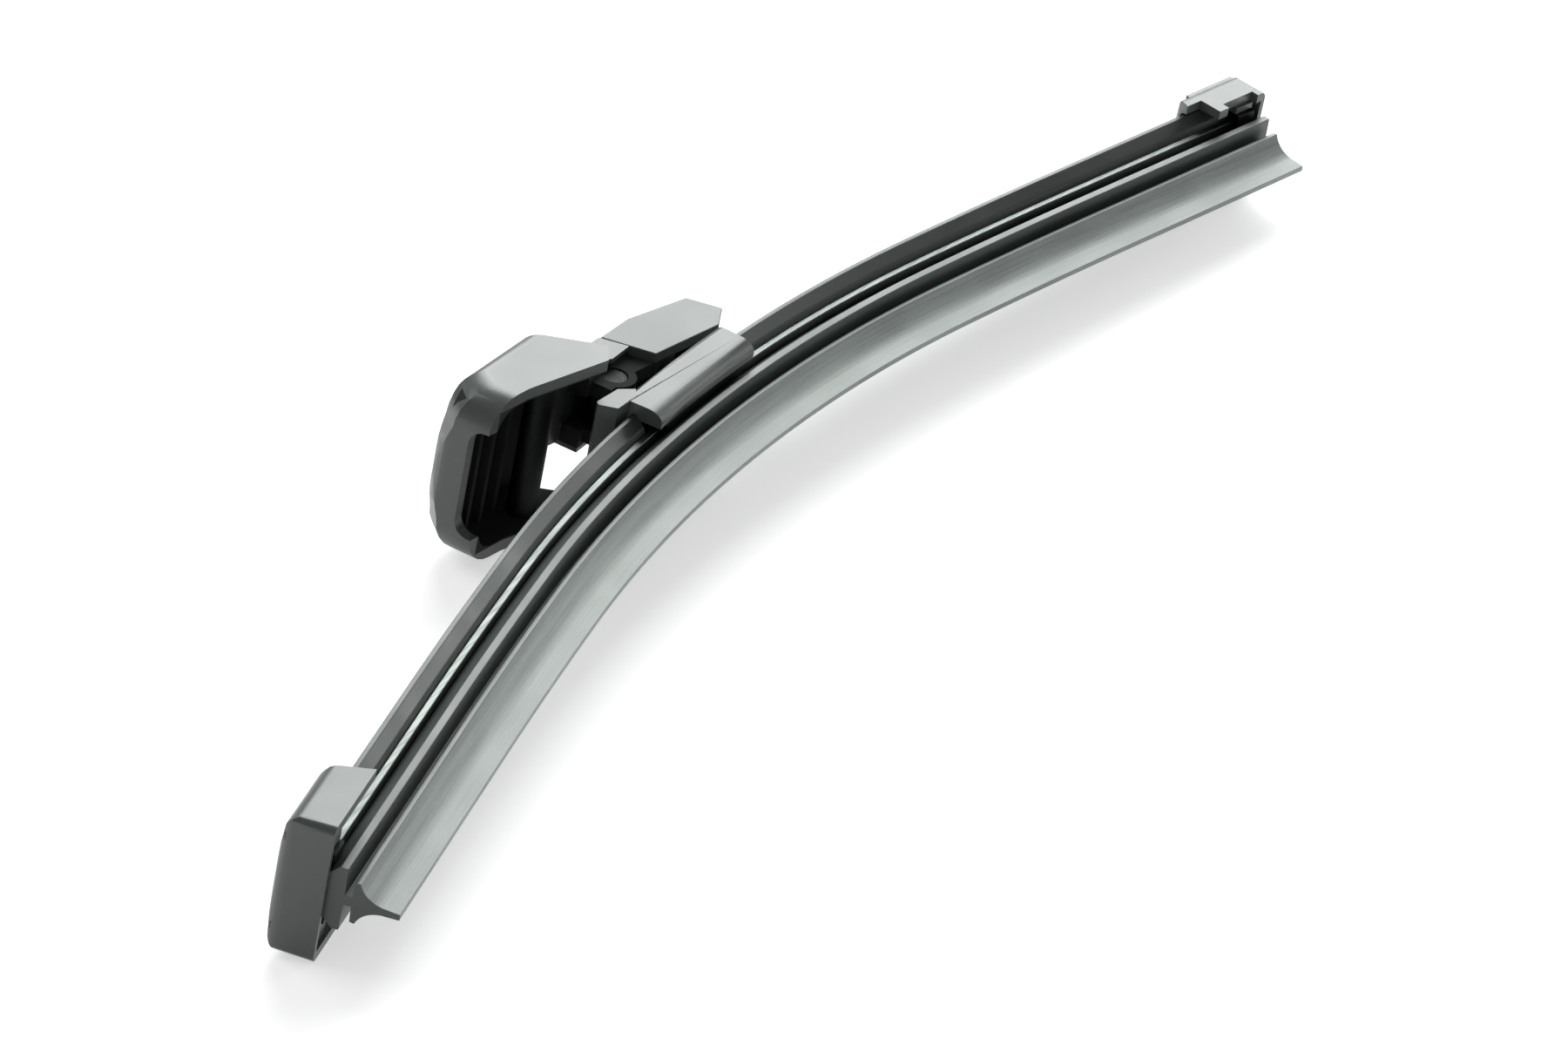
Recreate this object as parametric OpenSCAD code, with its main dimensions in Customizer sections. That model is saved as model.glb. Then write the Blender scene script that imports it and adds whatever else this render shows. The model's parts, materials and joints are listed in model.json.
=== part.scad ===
// Flat rear wiper blade, lying on its side as it comes to rest.
// Design frame: X along the blade, Y away from the glass, Z across the blade.
// The neck of the rubber passes through the design origin at mid length.

/* [Blade] */
// Length of the wiper rubber along its bow
blade_len = 279.4; // [240:0.1:340]
// Radius of the middle stretch of the bow
bow_r = 310; // [260:10:500]
// Half length of the middle stretch
bow_half = 57; // [45:1:65]
// Radius of the stretch beside it
arm_r = 1395; // [900:5:3000]
// Half length up to the start of the straight ends
arm_half = 97; // [85:1:100]

/* [Rubber] */
// Height of the lip tip below the neck
lip_h = 7.4; // [6:0.1:9]
// Thickness of the lip at its tip
lip_t = 0.9; // [0.6:0.1:1.3]
// Height of the lip where the wedge begins
lip_root = 4.8; // [4:0.1:5.5]
// Width over the wedge shoulders
shoulder_w = 6.5; // [5.5:0.1:7.5]
// Thickness of the shoulder edge
shoulder_t = 0.8; // [0.5:0.1:1]
// Width of the neck that lets the wedge flip over
neck_w = 1.5; // [1:0.1:2]
// Half height of the neck gap
neck_gap = 0.55; // [0.4:0.05:0.8]
// Width of the flange above the neck
flange_w = 10; // [9:0.1:11]
// Thickness of the flange edge
flange_t = 1.2; // [0.8:0.1:1.4]
// Width of the web between the two rails
web_w = 2; // [1.4:0.1:2.6]
// Width of the bead over the rails
bead_w = 4.8; // [4:0.1:5.4]
// Thickness of the bead over the rails
bead_t = 1; // [0.8:0.1:1.2]

/* [Spring rails] */
// Height of the rails above the neck
rail_y = 4; // [3.8:0.1:4.4]
// Thickness of a rail
rail_t = 1; // [0.8:0.1:1.2]
// Width over the outer edges of both rails
rail_span = 8.8; // [8.4:0.1:9]
// Clearance between a rail and the rubber
rail_clear = 0.12; // [0.05:0.01:0.2]

/* [Cover strips] */
// Width over the flared edges
strip_w = 13.2; // [12:0.1:14]
// Width over the foot beside the rails
strip_foot_w = 10.6; // [10:0.1:11]
// Thickness of the flared edge
strip_edge = 0.7; // [0.5:0.1:1]
// Height of the flared edge above the rails
strip_rise = 2.7; // [2.4:0.1:3]
// Height of the crown above the flared edge
strip_crown = 0.7; // [0.3:0.1:1]

/* [End caps] */
// Width of the near cap across the blade
cap_w = 22; // [20:0.1:24]
// Width of the far cap across the blade
far_cap_w = 17; // [16.6:0.1:19]
// Length of a cap along the blade, at its open rim
cap_len = 16.5; // [14:0.5:20]
// How far the roof of the cap stops short of the rim
cap_slant = 4.5; // [2:0.5:6]
// Height of the cap roof above the neck, at its crown
cap_top = 10.75; // [10.6:0.05:11.5]
// Fall of the cap roof from its crown to its edges
cap_crown = 0.65; // [0.3:0.05:0.7]
// Height of the open side above the neck
cap_low = 3.05; // [3:0.05:3.4]
// Wall of a cap
cap_wall = 1.5; // [1.2:0.1:2]
// Corner radius of a cap
cap_round = 2.4; // [1.8:0.1:3]
// Radius of the upright corners beside the end wall
cap_corner = 1.2; // [0.8:0.1:1.4]
// Height of the mouth in the side walls of the far cap
mouth_top = 7; // [6.5:0.1:7.4]
// Distance of the tab beside the mouth from the rubber end
tab_at = 10.6; // [9.5:0.1:11.5]
// Width of that tab
tab_w = 2.2; // [1.8:0.1:2.8]
// Height of the side walls behind the tab
tab_top = 4.3; // [4:0.1:4.5]
// End wall of a cap
cap_end_wall = 0.9; // [0.7:0.1:1.5]
// Length of the steel clip inside each cap
clip_len = 4; // [3:0.5:5]

/* [Connector] */
// Length of the plastic cover over the clamp
cover_len = 27; // [25:0.5:30]
// Width of the plastic cover
cover_w = 16.8; // [16:0.1:18]
// Height of the cover roof above the neck
cover_top = 9.6; // [9.3:0.1:9.8]
// Thickness of the steel sheet of clamp and clips
sheet_t = 1; // [0.8:0.1:1.2]
// Length of the steel clamp
clamp_len = 22; // [20:0.5:24]
// Thickness of the pivot lug on the clamp
lug_t = 5.2; // [4:0.1:6]

/* [Pivot] */
// Distance of the pivot from mid length
pivot_x = -4.6; // [-5:0.1:-4]
// Height of the pivot above the neck
pivot_y = 15.6; // [15.2:0.1:16]
// Diameter of the pivot pin
pivot_d = 4; // [3.5:0.1:4.5]
// Length of the pivot pin
pivot_len = 10; // [9.6:0.1:10.4]
// Clearance round the pivot pin, on the radius
pivot_clear = 0.05; // [0.03:0.01:0.08]

/* [Arm hood] */
// Width of the hood across the blade
hood_w = 28; // [26:0.5:30]
// Wall of the hood
hood_wall = 2.1; // [1.6:0.1:2.4]
// Distance of the nose from mid length
hood_nose = 38; // [36:0.5:41]
// Radius of the nose corners
hood_round = 5.5; // [4:0.1:7]
// Radius of the edge between nose and roof
hood_edge = 3; // [2:0.1:4]
// Height of the hood roof at the nose, at its crown
hood_top = 26.7; // [26:0.1:28]
// Fall of the hood roof from its crown to its edges
hood_crown = 0.4; // [0.2:0.1:0.8]
// Radius of the edges between roof and side walls
hood_side_round = 2.8; // [2:0.1:3.2]
// Fall of the nose edge from its middle to its rounded ends
nose_crown = 1; // [0.6:0.1:1.4]
// Radius of the rounded ends of the nose edge
nose_round = 6; // [4.5:0.5:7.5]
// Height of the open rim at the nose
hood_rim = 16.8; // [16.5:0.1:17.5]
// Lowest corner of the side walls
hood_low = 12.2; // [12.1:0.1:13]
// Width of the neck that carries the pivot
hood_neck_w = 13.4; // [13:0.1:15]
// Width over the two cheeks round the pivot
cheek_w = 10.4; // [9.8:0.1:11]
// Width of the arch that lets the wiper arm in
arch_w = 18; // [16:0.5:19]
// Height of the crown of the arch
arch_top = 20.8; // [20:0.1:21.5]
// Diameter of the cross pin that holds the wiper arm
arm_pin_d = 4.5; // [4:0.1:5]
// Depth of each pin socket in the side walls
arm_pin_seat = 1.2; // [1:0.1:1.4]

/* [Tongue] */
// Distance of the tongue end from mid length
tongue_end = 21.3; // [19:0.1:24]
// Height of the tongue end above the neck
tongue_end_y = 12.4; // [12:0.1:13]
// Distance of the bend in its back from mid length
tongue_bend = 8.3; // [7:0.1:10]
// Height of the bend in its back
tongue_bend_y = 21.2; // [20.9:0.1:21.4]
// Height of the back at the tongue end
tongue_back_y = 17.9; // [17:0.1:19]
// Height of the lowest corner of the tongue
tongue_foot_y = 10.4; // [10.4:0.1:11]
// Distance of that corner from the tongue end
tongue_foot_back = 4.5; // [3.5:0.1:5.5]
// Wall of the tongue
tongue_wall = 1.8; // [1.4:0.1:2.2]

/* [Hidden] */
$fn = 64;
// Fitting gap between pieces that are pushed together
fit = 0.15;
// Clearance round a pin that is pressed in, on the radius
pin_clear = 0.02;
// Free air between pieces that move past each other
air = 0.3;
// Overcut that carries a cut through a face
cut = 1;
deg = 180 / PI;

// Path of the bow

mid_turn = bow_half / bow_r * deg;
arm_turn = mid_turn + (arm_half - bow_half) / arm_r * deg;
half_len = blade_len / 2;

// Angle of the bow at station s, measured along the bow from mid length
function turn(s) =
    abs(s) <= bow_half ? s / bow_r * deg
                       : sign(s) * (mid_turn + (min(abs(s), arm_half) - bow_half) / arm_r * deg);

// Centre of curvature of the stretch beside the middle, on the side given by sign
function arm_centre(side) =
    [side * (bow_r - arm_r) * sin(mid_turn), (bow_r - arm_r) * cos(mid_turn) - bow_r];

// Point of the bow at station s
function bow(s) =
    abs(s) <= bow_half ? [bow_r * sin(turn(s)), bow_r * (cos(turn(s)) - 1)]
    : abs(s) <= arm_half ? arm_centre(sign(s)) + arm_r * [sin(turn(s)), cos(turn(s))]
    : bow(sign(s) * arm_half) + (abs(s) - arm_half) * [sign(s) * cos(arm_turn), -sin(arm_turn)];

// Places children at station s: their X runs along the bow, their Y away from the glass
module at_station(s) {
    translate([bow(s)[0], bow(s)[1], 0])
        rotate([0, 0, -turn(s)])
            children();
}

// Turns a flat outline of height and width into a bar along X
module bar(len) {
    rotate([90, 0, 90])
        linear_extrude(len)
            children();
}

// Point above the bow at station s
function above_bow(s, height) =
    bow(s) + height * [sin(turn(s)), cos(turn(s))];

// Short piece of one outline, within the middle stretch or within a straight end
module short_piece(from_s, to_s) {
    if (max(abs(from_s), abs(to_s)) <= bow_half)
        translate([0, -bow_r, 0])
            rotate([0, 0, 90 - turn(to_s)])
                rotate_extrude(angle = turn(to_s) - turn(from_s), $fn = 360)
                    translate([bow_r, 0])
                        children();
    else
        at_station(from_s) bar(to_s - from_s) children();
}

// Stations at which the long pieces bend
bends = concat([-arm_half, -(arm_half + bow_half) / 2],
               [for (k = [-8:8]) bow_half * k / 8],
               [(arm_half + bow_half) / 2, arm_half]);

function stations(from_s, to_s) =
    concat([from_s], [for (s = bends) if (s > from_s + 1 && s < to_s - 1) s], [to_s]);

// Long piece with the same outline of height and width at every station. Its end faces are given as
// convex pieces of the outline.
module long_piece(from_s, to_s, outline, end_pieces) {
    at = stations(from_s, to_s);
    n = len(outline);
    last = len(at) - 1;
    polyhedron(
        points = [for (s = at) for (p = outline)
                  concat(above_bow(s, p[0]), [p[1]])],
        faces = concat(
            [for (e = end_pieces) [for (j = [len(e) - 1:-1:0]) e[j]]],
            [for (e = end_pieces) [for (j = e) last * n + j]],
            [for (i = [0:last - 1]) for (j = [0:n - 1])
                [i * n + j, i * n + (j + 1) % n, (i + 1) * n + (j + 1) % n]],
            [for (i = [0:last - 1]) for (j = [0:n - 1])
                [i * n + j, (i + 1) * n + (j + 1) % n, (i + 1) * n + j]]));
}

// Points of a round corner, drawn from one direction to another
function corner(centre, r, from_a, to_a) =
    [for (k = [0:6])
        centre + r * [cos(from_a + (to_a - from_a) * k / 6), sin(from_a + (to_a - from_a) * k / 6)]];

// Outline of height and width, open below, with rounded upper edges and a crowned back
function crowned(half, top, crown, r, low) = concat(
    [[low, -half]],
    corner([top - crown - r, -half + r], r, -90, 0),
    [for (k = [-3:3]) [top - crown * pow(k / 4, 2), (half - r) * k / 4]],
    corner([top - crown - r, half - r], r, 0, 90),
    [[low, half]]);

// The same outline with a foot that stands clear of the side walls, for use in an intersection
function wide_foot(points) =
    let (n = len(points), lift = 3 * (points[2] - points[1]))
    concat([points[0] - [0, lift[1]], points[1] - lift],
           [for (k = [2:n - 3]) points[k]],
           [points[n - 2] - [lift[0], -lift[1]], points[n - 1] + [0, lift[1]]]);

// Mirrors the points of one half of an outline to the other side of the blade
function both_sides(half) =
    concat(half, [for (i = [len(half) - 1:-1:0]) [half[i][0], -half[i][1]]]);

// Heights above the neck

rail_top = rail_y + rail_t;
bead_low = rail_top + rail_clear;
bead_top = bead_low + bead_t;
slot_floor = rail_y - rail_clear;
flange_top = neck_gap + flange_t;
strip_low = rail_top + 0.05;
strip_edge_top = strip_low + strip_rise;
strip_top = strip_edge_top + strip_crown;

// Where the pieces end along the bow

cap_reach = cap_end_wall + fit;
rail_end = half_len - 0.4;
clip_end = half_len - 1;
clip_start = clip_end - clip_len;

// Places of the adapter

seat_z = hood_w / 2 - hood_wall;
hood_right = -17.7;
neck_from = -12;
neck_bend = -4.5;
seam_top = 0.6;
seam_low = 2.6;
hood_foot = -14.8;
neck_low = pivot_y - 1.8;
neck_top = 21.6;
cheek_r = 3.3;
ledge_y = pivot_y + 1.5;
collar_top = pivot_y - cheek_r - air;
saddle_top = 11.6;
saddle_end = -12.4;
arm_pin_at = [-21.5, 18.6];

// Slopes of the ground under the piece, where hood, near cap and far cap touch it together
cap_foot = above_bow(half_len + cap_reach - cap_corner, cap_low);
slope_x = (cap_w - far_cap_w) / 4 / cap_foot[0];
slope_y = ((cap_w + far_cap_w) / 4 - hood_w / 2 - slope_x * hood_foot) / (hood_low - cap_foot[1]);

// Lays the design frame down on level ground, with the arm pin at the origin
module lying() {
    rotate([-atan(slope_y), 0, 0])
        rotate([0, atan(slope_x), 0])
            translate([-arm_pin_at[0], -arm_pin_at[1], 0])
                children();
}

// Wiper rubber

// Width of the sloping top of the flange at height y
function flange_slope(y) =
    flange_w / 2 - (y - flange_top) / (slot_floor - flange_top) * (flange_w / 2 - 2.7);

// Hollow flank of the wedge, a curve of the second order from the lip to the shoulder
function wedge_flank(t) =
    (1 - t) * (1 - t) * [-lip_root, lip_t / 2 + 0.15]
    + 2 * t * (1 - t) * [-neck_gap - shoulder_t - 0.8, lip_t / 2 + 0.6]
    + t * t * [-neck_gap - shoulder_t, shoulder_w / 2];

rubber_outline = both_sides(concat(
    [[-lip_h, lip_t / 2]],
    [for (k = [0:8]) wedge_flank(k / 8)],
    [[-neck_gap - 0.1, shoulder_w / 2 - 0.1],
     [-neck_gap, neck_w / 2],
     [neck_gap, neck_w / 2],
     [neck_gap + 0.05, flange_w / 2 - 0.1],
     [neck_gap + 0.15, flange_w / 2],
     [flange_top, flange_w / 2],
     [slot_floor - 0.05, flange_slope(slot_floor)],
     [slot_floor, web_w / 2],
     [bead_low, web_w / 2],
     [bead_low + 0.05, bead_w / 2],
     [bead_top, bead_w / 2 - 0.3]]));

rubber_points = len(rubber_outline);
rubber_ends = [for (j = [0:rubber_points / 2 - 2])
               [j, j + 1, rubber_points - 2 - j, rubber_points - 1 - j]];

module wiper_rubber() {
    color([0.13, 0.14, 0.135])
        long_piece(-half_len, half_len, rubber_outline, rubber_ends);
}

// Spring rails

module spring_rail(side) {
    rail_in = web_w / 2 + rail_clear;
    at = stations(-rail_end, rail_end);
    color([0.45, 0.47, 0.47])
        translate([0, 0, side > 0 ? rail_in : -rail_span / 2])
            linear_extrude(rail_span / 2 - rail_in)
                polygon(concat([for (s = at) above_bow(s, rail_y)],
                               [for (i = [len(at) - 1:-1:0]) above_bow(at[i], rail_top)]));
}

module upper_spring_rail() { spring_rail(1); }
module lower_spring_rail() { spring_rail(-1); }

// Cover strips

function crown(k) =
    [strip_edge_top + strip_crown * (1 - pow(k / 4, 2)), strip_w / 2 * k / 4];

strip_outline = both_sides(concat(
    [[bead_top + fit, bead_w / 2 + fit],
     [strip_low, bead_w / 2 + fit],
     [strip_low, rail_span / 2 - 0.2],
     [strip_low + 0.5, strip_foot_w / 2],
     [strip_edge_top - strip_edge, strip_w / 2]],
    [for (k = [4:-1:1]) crown(k)]));

// The foot and the flared edge of one side, then of the other side, and the crown over both
strip_side = [[0, 1, 2, 3], [0, 3, 4], [0, 4, 5]];
strip_ends = concat(
    strip_side,
    [for (e = strip_side) [for (j = [len(e) - 1:-1:0]) 17 - e[j]]],
    [[0, 5, 6, 7, 8, 9, 10, 11, 12, 17]]);

module near_cover_strip() {
    color([0.1, 0.11, 0.105])
        long_piece(fit - clip_start, -cover_len / 2 - fit, strip_outline, strip_ends);
}

module far_cover_strip() {
    color([0.1, 0.11, 0.105])
        long_piece(cover_len / 2 + fit, clip_start - fit, strip_outline, strip_ends);
}

// Steel clamp and clips: a channel over the rails with claws turned in below them

leg_in = rail_span / 2 + air;
leg_out = leg_in + sheet_t;
claw_in = flange_slope(cap_low) + fit;
sheet_low = bead_top + 0.1;

module channel_outline() {
    polygon(both_sides([
        [sheet_low + sheet_t, leg_out],
        [cap_low, leg_out],
        [cap_low, claw_in],
        [slot_floor - 0.05, claw_in],
        [slot_floor - 0.05, leg_in],
        [sheet_low, leg_in]]));
}

module rail_clip_between(from_s, to_s) {
    color([0.55, 0.57, 0.57])
        short_piece(from_s, to_s) channel_outline();
}

module near_rail_clip() { rail_clip_between(-clip_end, -clip_start); }
module far_rail_clip() { rail_clip_between(clip_start, clip_end); }

lug_half = cheek_r + 0.2;
lug_low = cap_low + 0.7;
lug_h = 1.6;

module connector_clamp() {
    color([0.5, 0.52, 0.52])
        difference() {
            union() {
                short_piece(-clamp_len / 2, clamp_len / 2) channel_outline();
                translate([pivot_x - lug_half, sheet_low + sheet_t / 2, -lug_t / 2])
                    cube([2 * lug_half, pivot_y - sheet_low - sheet_t / 2, lug_t]);
                translate([pivot_x, pivot_y, -lug_t / 2])
                    cylinder(h = lug_t, r = lug_half);
            }
            translate([pivot_x, pivot_y, -lug_t / 2 - cut])
                cylinder(h = lug_t + 2 * cut, r = pivot_d / 2 + pin_clear);
        }
}

module pivot_pin() {
    color([0.6, 0.62, 0.62])
        translate([pivot_x, pivot_y, -pivot_len / 2])
            cylinder(h = pivot_len, d = pivot_d);
}

// Plastic cover of the connector, with the saddle that the adapter rocks over

cover_side = 5.6;
cover_foot_z = leg_out + fit + 1;

function cover_curve(t) =
    [cover_side - (cover_side - cap_low + fit) * sin(t),
     cover_foot_z + (cover_w / 2 - cover_foot_z) * cos(t)];

module cover_outline() {
    polygon(both_sides(concat(
        [[sheet_low + sheet_t + fit, leg_out + fit],
         [cap_low - fit, leg_out + fit]],
        [for (t = [90:-15:0]) cover_curve(t)],
        [for (t = [0:22.5:90]) [cover_top - 1 + sin(t), cover_w / 2 - 1 + cos(t)]])));
}

collar_t = 1.5;
collar_half = lug_half + fit + collar_t;

// Raised end of the cover under the hood
module saddle() {
    translate([0, 0, -cover_w / 2])
        linear_extrude(cover_w)
            polygon([[saddle_end + 2, cover_top - 0.4],
                     [saddle_end + 0.6, cover_top - 1.4],
                     [-cover_len / 2 + 0.5, cover_top - 1.4],
                     [-cover_len / 2 - 3.4, strip_top - 0.1],
                     [-cover_len / 2 - 4.6, saddle_top - 0.5],
                     [-cover_len / 2 - 4, saddle_top],
                     [saddle_end, saddle_top - 0.5]]);
}

// Collar round the pivot lug, below the cheeks
module collar() {
    translate([pivot_x - collar_half, cover_top - 1, -lug_t / 2 - fit - collar_t])
        cube([2 * collar_half, collar_top - cover_top + 1, lug_t + 2 * (fit + collar_t)]);
}

module connector_cover() {
    color([0.11, 0.12, 0.12])
        difference() {
            union() {
                short_piece(-cover_len / 2, cover_len / 2) cover_outline();
                saddle();
                collar();
            }
            translate([pivot_x - lug_half - fit, sheet_low, -lug_t / 2 - fit])
                cube([2 * (lug_half + fit), pivot_y, lug_t + 2 * fit]);
        }
}

// Arm hood: a shell with an open rim over the wiper arm, and a neck with two cheeks

// Plan view of the nose, drawn along and across the blade, open to the right
function nose_plan(inset) = concat(
    corner([-hood_nose + hood_round, hood_w / 2 - hood_round], hood_round - inset, 90, 180),
    corner([-hood_nose + hood_round, -hood_w / 2 + hood_round], hood_round - inset, 180, 270));

hood_fall = 0.6;
hood_back = concat(
    corner([-hood_nose + hood_edge, hood_top + fit - hood_edge], hood_edge, 180, 90),
    [[hood_right, hood_top + fit - hood_fall]]);

// Crowned section of the hood, which falls a little from the nose towards the neck
module hood_section() {
    translate([-hood_nose + hood_edge, hood_top, 0])
        rotate([0, 0, -atan(hood_fall / (hood_nose - hood_edge + hood_right))])
            translate([-hood_edge - cut, -hood_top, 0])
                bar(hood_nose + 3 * cut)
            polygon(wide_foot(crowned(hood_w / 2, hood_top, hood_crown, hood_side_round,
                                      hood_low - cut)));
}

// Stands a plan outline up along Y between two heights
module upright(low, high) {
    translate([0, high, 0])
        rotate([90, 0, 0])
            linear_extrude(high - low)
                children();
}

// Extrudes a side view to both sides of the middle
module slab(z_half) {
    translate([0, 0, -z_half])
        linear_extrude(2 * z_half)
            children();
}

module hood_roof() {
    intersection() {
        slab(hood_w / 2 + cut)
            polygon(concat(hood_back,
                           [[neck_from, neck_top + 1.8],
                            [neck_bend, neck_top + 0.3],
                            [seam_top, neck_top],
                            [seam_top, neck_top - hood_wall],
                            [neck_bend, neck_top + 0.3 - hood_wall],
                            [neck_from, neck_top + 1.8 - hood_wall],
                            [hood_right, hood_top - hood_fall - hood_wall],
                            [-hood_nose + hood_wall, hood_top - hood_wall],
                            [-hood_nose, hood_top - hood_edge - hood_wall / 2]]));
        upright(hood_low, hood_top + cut)
            polygon(concat([[cut, hood_neck_w / 2],
                            [neck_from, hood_neck_w / 2],
                            [hood_right, hood_w / 2]],
                           nose_plan(0),
                           [[hood_right, -hood_w / 2],
                            [neck_from, -hood_neck_w / 2],
                            [cut, -hood_neck_w / 2]]));
    }
}

// Nose wall and side walls, with slanted ends beside the neck
module hood_walls() {
    inner = nose_plan(hood_wall);
    intersection() {
        slab(hood_w / 2 + cut)
            polygon(concat(hood_back,
                           [[-11.3, 14.2],
                            [hood_foot, hood_low],
                            [-29.8, hood_rim - 0.2],
                            [-hood_nose, hood_rim + 1]]));
        upright(hood_low - cut, hood_top + cut)
            polygon(concat([[cut, hood_w / 2]],
                           nose_plan(0),
                           [[cut, -hood_w / 2], [cut, -seat_z]],
                           [for (i = [len(inner) - 1:-1:0]) inner[i]],
                           [[cut, seat_z]]));
    }
}

// Section of the hood across the edge of its nose, seen from below at 45 degrees. It rounds that edge
// towards both side walls.
module nose_section() {
    edge_out = (hood_nose + hood_top - 2 * hood_edge) / sqrt(2) + hood_edge + 0.1;
    rotate([0, 0, 45])
        translate([-hood_nose - cut, 0, 0])
            bar(2 * (hood_nose + cut))
                polygon(wide_foot(crowned(hood_w / 2, edge_out, nose_crown, nose_round, 0)));
}

module hood_shell() {
    intersection() {
        hood_section();
        nose_section();
        union() {
            hood_roof();
            hood_walls();
        }
    }
}

arch_outline = concat([[0, -arch_w / 2]],
                      corner([arch_top - 2.5, -arch_w / 2 + 2.5], 2.5, -90, 0),
                      corner([arch_top - 2.5, arch_w / 2 - 2.5], 2.5, 0, 90),
                      [[0, arch_w / 2]]);

// Ribs under the roof, across the hood
module hood_ribs() {
    for (x = [-33, -29, -25])
        translate([x, arch_top + 0.6, -seat_z - hood_wall / 4])
            cube([1, hood_top - hood_wall / 2 - arch_top - 1.6, 2 * seat_z + hood_wall / 2]);
}

// Point of the slanted seam between hood and tongue at height y
function seam_at(y) =
    [seam_low + (seam_top - seam_low) * (y - neck_low + 0.7) / (neck_top - neck_low + 0.7), y];

// One side of the neck: wide under the roof, and below a ledge a thinner cheek round the pivot
module neck_cheek() {
    cheek_in = lug_t / 2 + air;
    translate([0, 0, cheek_in]) {
        linear_extrude(hood_neck_w / 2 - cheek_in)
            polygon([[pivot_x - 5, ledge_y],
                     [pivot_x - 5, neck_top + 0.3],
                     [neck_bend, neck_top - 0.4],
                     [seam_top, neck_top - 0.6],
                     seam_at(ledge_y)]);
        linear_extrude(cheek_w / 2 - cheek_in)
            polygon([[pivot_x - 4, neck_low],
                     [pivot_x - 4, ledge_y + 1],
                     seam_at(ledge_y + 1),
                     seam_at(neck_low - 0.7),
                     [pivot_x + cheek_r, neck_low]]);
        translate([pivot_x, pivot_y, 0])
            cylinder(h = cheek_w / 2 - cheek_in, r = cheek_r);
    }
}

module arm_hood() {
    color([0.12, 0.13, 0.13])
        difference() {
            union() {
                hood_shell();
                hood_ribs();
                neck_cheek();
                mirror([0, 0, 1]) neck_cheek();
            }
            translate([-hood_nose - cut, 0, 0])
                bar(hood_round + cut)
                    polygon(arch_outline);
            translate([pivot_x, pivot_y, -hood_neck_w / 2 - cut])
                cylinder(h = hood_neck_w + 2 * cut, r = pivot_d / 2 + pivot_clear);
            translate([arm_pin_at[0], arm_pin_at[1], -seat_z - arm_pin_seat])
                cylinder(h = 2 * (seat_z + arm_pin_seat), r = arm_pin_d / 2 + pin_clear);
        }
}

module arm_pin() {
    color([0.6, 0.62, 0.62])
        translate([arm_pin_at[0], arm_pin_at[1], -seat_z - arm_pin_seat + 0.1])
            cylinder(h = 2 * (seat_z + arm_pin_seat - 0.1), d = arm_pin_d);
}

// Tongue of the adapter: a channel open below, with a tenon in the neck of the hood

module tongue_outline(inset) {
    low = inset > 0 ? cut : 0;
    polygon([[seam_low + fit + inset, neck_low - 0.7 - low],
             [tongue_end - tongue_foot_back - inset, tongue_foot_y - low],
             [tongue_end - inset, tongue_end_y - low],
             [tongue_end - 1.5 - inset, tongue_back_y - inset],
             [tongue_bend, tongue_bend_y - inset],
             [seam_top + fit + inset, neck_top - 0.1 - inset]]);
}

module adapter_tongue() {
    tenon_x = pivot_x + lug_half + air;
    color([0.14, 0.15, 0.15])
        union() {
            difference() {
                slab(hood_neck_w / 2) tongue_outline(0);
                slab(hood_neck_w / 2 - tongue_wall) tongue_outline(tongue_wall);
            }
            translate([tenon_x, pivot_y - 1, -lug_t / 2 - air + fit])
                cube([seam_low + tongue_wall - tenon_x, neck_top - hood_wall - fit - pivot_y + 1,
                      lug_t + 2 * (air - fit)]);
        }
}

// End caps: a shell open towards the glass and towards the blade

// Side view of a cap, from its end wall to its open rim
function cap_side(reach) = concat(
    [[reach, cap_low]],
    corner([reach - cap_round, cap_top - cap_round], cap_round, 0, 90),
    [[reach - cap_len + cap_slant, cap_top],
     [reach - cap_len + cap_slant / 2, cap_top - 1.8],
     [reach - cap_len, cap_low]]);

// Plan of a cap with its two upright corners
function cap_plan(reach, half) = concat(
    [[reach - cap_len - cut, -half]],
    corner([reach - cap_corner, -half + cap_corner], cap_corner, -90, 0),
    corner([reach - cap_corner, half - cap_corner], cap_corner, 0, 90),
    [[reach - cap_len - cut, half]]);

module end_cap(width) {
    half = width / 2;
    inner = half - cap_wall;
    rim_x = cap_reach - cap_len;
    rib_z = strip_w / 2 + fit;
    rib_t = 1.1;
    rib_x = rim_x + cap_slant + 0.5;
    rib_low = rail_top + 1;
    lug_x = clip_start - half_len;
    lug_z = leg_out + fit;
    difference() {
        intersection() {
            slab(half + cut) polygon(cap_side(cap_reach));
            translate([rim_x - cut, 0, 0])
                bar(cap_len + 2 * cut)
                    polygon(crowned(half, cap_top, cap_crown, cap_round, cap_low - cut));
            upright(cap_low - cut, cap_top + cut)
                polygon(cap_plan(cap_reach, half));
        }
        translate([rim_x - cut, 0, 0])
            bar(cap_len + cut - cap_end_wall)
                polygon(crowned(inner, cap_top - cap_wall, cap_crown, cap_round - cap_wall / 2,
                                cap_low - cut));
    }
    for (side = [-1, 1]) {
        translate([rib_x, rib_low, side * (rib_z + rib_t / 2) - rib_t / 2])
            cube([cap_reach - cap_end_wall / 2 - rib_x, cap_top - cap_wall / 2 - rib_low, rib_t]);
        translate([lug_x, lug_low, side > 0 ? lug_z : -half + cap_wall - fit])
            cube([clip_len, lug_h, half - cap_wall + fit - lug_z]);
    }
}

module near_end_cap() {
    color([0.11, 0.12, 0.12])
        mirror([1, 0, 0]) at_station(half_len) end_cap(cap_w);
}

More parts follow.
